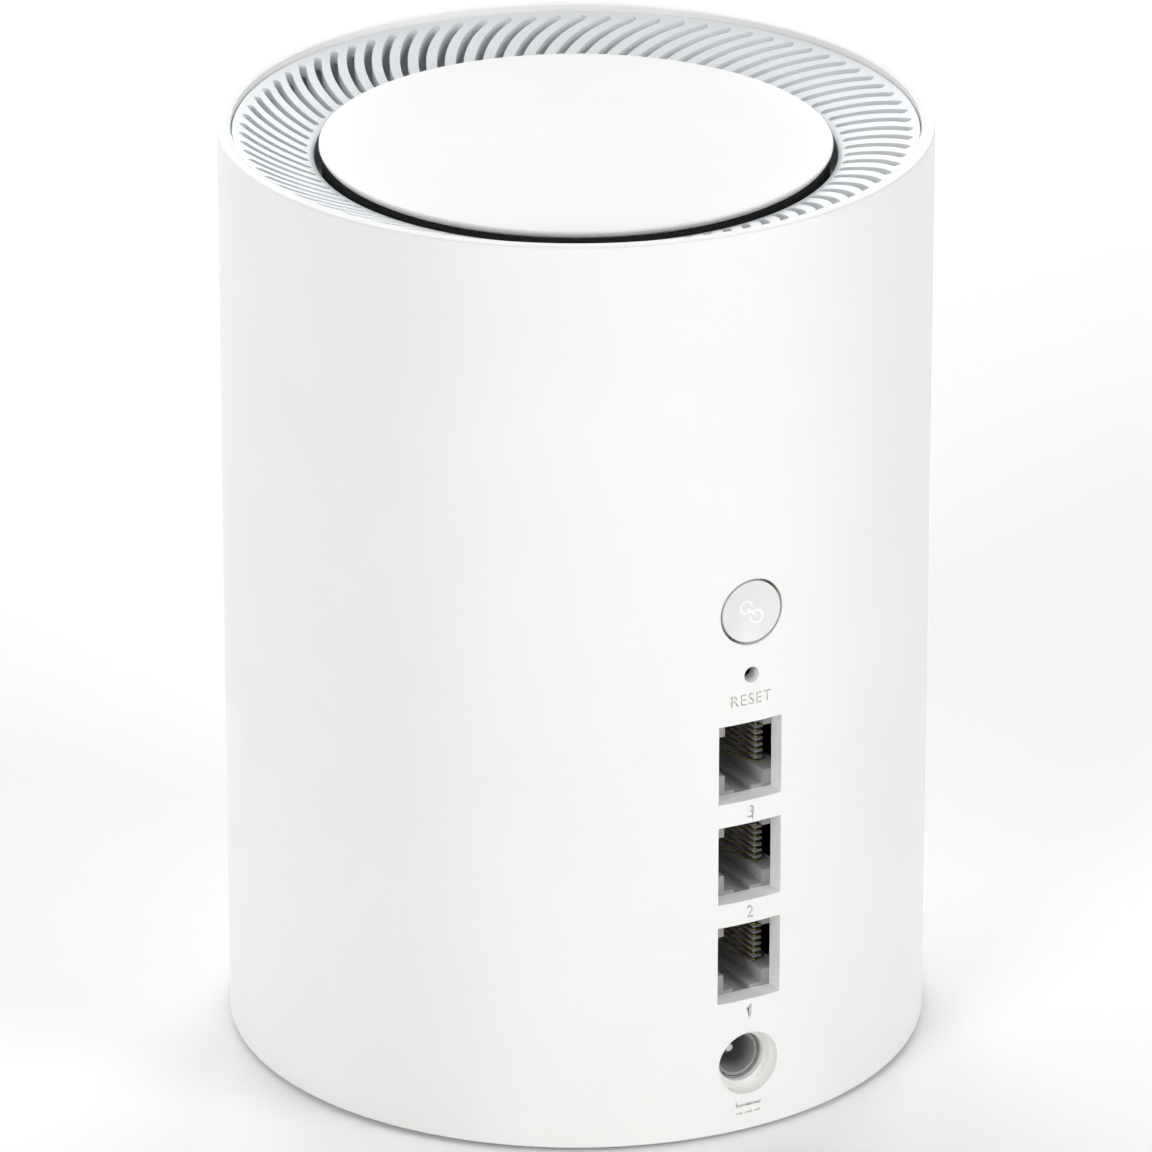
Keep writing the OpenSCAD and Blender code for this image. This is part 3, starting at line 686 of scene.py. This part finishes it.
def make_jacks(m):
    """The three LAN jacks with their spring contacts, and the DC inlet with a groove in its face."""
    for i, z in enumerate(LAN_Z, 1):
        jack = jack_body(i, z)
        finish_piece(jack, m["jack_plastic"], "housing", "jack_plastic", f"lan_jack_{i}")
        routes = [wire_route(z + (k - (CONTACTS - 1) / 2) * CONTACT_PITCH) for k in range(CONTACTS)]
        wires = tube_mesh(f"lan_jack_{i}_contacts", routes, WIRE_R)
        finish_piece(wires, m["gold_plate"], "housing", "gold_plate", f"lan_contacts_{i}", smooth=60)
    inlet = eased_copy("dc_jack", "dc_jack_body", 0.1 * MM)
    inlet_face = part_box("dc_jack")[1].y - 0.35 * MM
    groove_in_r, groove_out_r = 3.66 * MM, 3.82 * MM
    low_y, high_y = inlet_face - 0.35 * MM, inlet_face + 0.1 * MM
    groove = lathe([(groove_in_r, low_y), (groove_out_r, low_y),
                    (groove_out_r, high_y), (groove_in_r, high_y)], 96)
    for v in groove.verts:
        x, y, z = v.co
        v.co = (x, z, DC_Z - y)
    cut(inlet, groove)
    finish_piece(inlet, m["dark_plastic"], "housing", "dark_plastic", "dc_jack")


# ---- Stage, light and camera ----

CAMERA_AZIMUTH = 151.05
CAMERA_ELEVATION = 22.79
CAMERA_DISTANCE = 1.4953
FOCAL_MM = 299.3
AIM_DROP = 1.546 * MM


def direction(azimuth, elevation):
    """The unit vector from the object to a place at an azimuth and elevation in degrees."""
    a, e = math.radians(azimuth), math.radians(elevation)
    return Vector((math.sin(a) * math.cos(e), -math.cos(a) * math.cos(e), math.sin(e)))


def softbox(name, azimuth, elevation, distance, size, radiance):
    """A rectangular softbox aimed at the middle of the object, sized in metres."""
    light = bpy.data.lights.new(name, "AREA")
    light.shape = "RECTANGLE"
    light.size, light.size_y = size
    light.energy = radiance * math.pi * size[0] * size[1]
    holder = bpy.data.objects.new(name, light)
    middle = Vector((0, 0, RIM_Z / 2))
    holder.location = middle + distance * direction(azimuth, elevation)
    holder.rotation_euler = (middle - holder.location).to_track_quat("-Z", "Y").to_euler()
    bpy.context.scene.collection.objects.link(holder)


# Radiance of the soft boxes: a bright key, an even fill and rims, dimmer sides and little from above
KEY, RIM, SIDE, TOP, HIGH = 5.0, 4.5, 2.0, 0.9, 0.3
SKY = 0.05
FLOOR_HALF = 6


def make_stage():
    """A matte floor and the soft boxes, placed by their turn from the camera."""
    bm = bmesh.new()
    bmesh.ops.create_grid(bm, x_segments=1, y_segments=1, size=FLOOR_HALF)
    floor = to_object("studio_floor", bm)
    # Painted plywood, matte white
    floor.data.materials.append(surface("paint_matte_white_floor", "#FAFAFA", 0.9)[0])
    world = bpy.data.worlds.new("studio")
    bpy.context.scene.world = world
    world.use_nodes = True
    sky = world.node_tree.nodes["Background"]
    sky.inputs["Color"].default_value = (1, 1, 1, 1)
    sky.inputs["Strength"].default_value = SKY
    tall, flat, square = (0.6, 1.5), (1.4, 0.8), (1.2, 1.2)
    # name, turn from the camera, elevation, distance, size, radiance
    for name, turn, elevation, distance, size, radiance in (
            ("key_strip", 60, 14, 1.6, tall, KEY), ("fill_strip", -30, 14, 1.6, tall, RIM),
            ("left_back_strip", -115, 14, 1.6, tall, SIDE), ("left_rear_strip", -140, 14, 1.6, tall, SIDE),
            ("left_rim_strip", -165, 14, 1.6, tall, RIM), ("right_rim_strip", 165, 14, 1.6, tall, RIM),
            ("overhead_box", 0, 89, 1.5, square, TOP), ("high_back_box", 180, 55, 1.5, flat, HIGH),
            ("high_front_box", 0, 55, 1.5, flat, TOP), ("high_right_box", 90, 55, 1.5, flat, HIGH)):
        softbox(name, CAMERA_AZIMUTH + turn, elevation, distance, size, radiance)


def make_camera():
    """A long lens that looks down on the object's middle from the port side."""
    data = bpy.data.cameras.new("camera")
    data.lens = FOCAL_MM
    data.sensor_width = 36
    data.clip_start = 0.05
    holder = bpy.data.objects.new("camera", data)
    middle = Vector((0, 0, (FOOT_Z + RIM_Z) / 2))
    out = direction(CAMERA_AZIMUTH, CAMERA_ELEVATION)
    up = Vector((0, 0, 1)) - out * out.z
    target = middle - AIM_DROP * up.normalized()
    holder.location = middle + CAMERA_DISTANCE * out
    holder.rotation_euler = (target - holder.location).to_track_quat("-Z", "Y").to_euler()
    bpy.context.scene.collection.objects.link(holder)
    bpy.context.scene.camera = holder


def main():
    """Every CAD node gets its slot's material first, and the finished pieces follow."""
    make_camera()
    make_stage()
    bpy.context.scene.view_settings.view_transform = "Standard"
    m = make_materials()
    for part in frame["record"]["subparts"]:
        holder = nodes[part["node"]]
        holder.data.materials.clear()
        holder.data.materials.append(m[part["material_slot"]])
    make_shell(m["white_abs"])
    make_ring(m["grey_abs"])
    make_disc(m["white_abs"])
    make_button(m["cap_abs"])
    make_chain_mark(m["white_ink"])
    make_jacks(m)


main()
